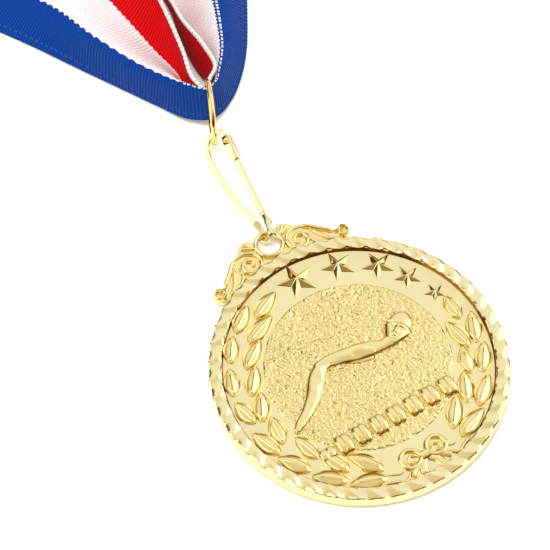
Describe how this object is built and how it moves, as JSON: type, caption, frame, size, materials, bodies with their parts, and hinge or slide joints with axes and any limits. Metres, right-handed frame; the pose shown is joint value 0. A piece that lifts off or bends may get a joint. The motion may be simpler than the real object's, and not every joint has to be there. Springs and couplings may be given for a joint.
{
  "type": "award medal",
  "caption": "Cast gold award medal with a swimmer, laurel and stars, on a spring clip, jump ring and striped neck ribbon.",
  "frame": {"origin": "middle of the disc's flat back face, which lies on the table", "axes": "+Z out of the disc's front, +Y from the disc's middle towards its eye, +X to the right seen from the front"},
  "size_m": [0.08, 0.1674, 0.012],
  "materials": {
    "medal_gold": "polished gold plate over cast zinc alloy",
    "clip_gold": "pale gold plate over spring steel strip",
    "ring_gold": "bright gold plate over wire",
    "ribbon": "woven ribbed polyester in blue, white and red stripes",
    "thread": "white sewing thread"
  },
  "bodies": {
    "ribbon": {"ribbon_turn": "ribbon", "ribbon_left_strand": "ribbon", "ribbon_right_strand": "ribbon", "ribbon_folded_stack": "ribbon", "ribbon_seam_thread": "thread"},
    "ring": {"jump_ring": "ring_gold"},
    "clip": {"clip_frame": "clip_gold"},
    "gate": {"clip_gate": "clip_gold"},
    "medal": {"medal_casting": "medal_gold"}
  },
  "joints": [
    {"name": "ring_in_ribbon", "type": "hinge", "parent": "ribbon", "child": "ring", "pos_m": [0.00466, 0.05496, 0.006], "axis": [-0.9078, 0.4195, 0], "range_deg": [-20, 90]},
    {"name": "clip_on_ring", "type": "hinge", "parent": "ring", "child": "clip", "pos_m": [0.00272, 0.05076, 0.00302], "axis": [-0.2275, -0.4924, 0.8401], "range_deg": [-40, 40]},
    {"name": "gate_spring", "type": "hinge", "parent": "clip", "child": "gate", "pos_m": [0.00227, 0.03392, 0.00264], "axis": [-0.6428, 0, 0.766], "range_deg": [0, 12], "stiffness_Nm_per_rad": 0.01},
    {"name": "medal_on_hook", "type": "hinge", "parent": "clip", "child": "medal", "pos_m": [0.00089, 0.0303, 0.00175], "axis": [-0.9272, 0.3746, 0], "range_deg": [-90, 90]}
  ]
}
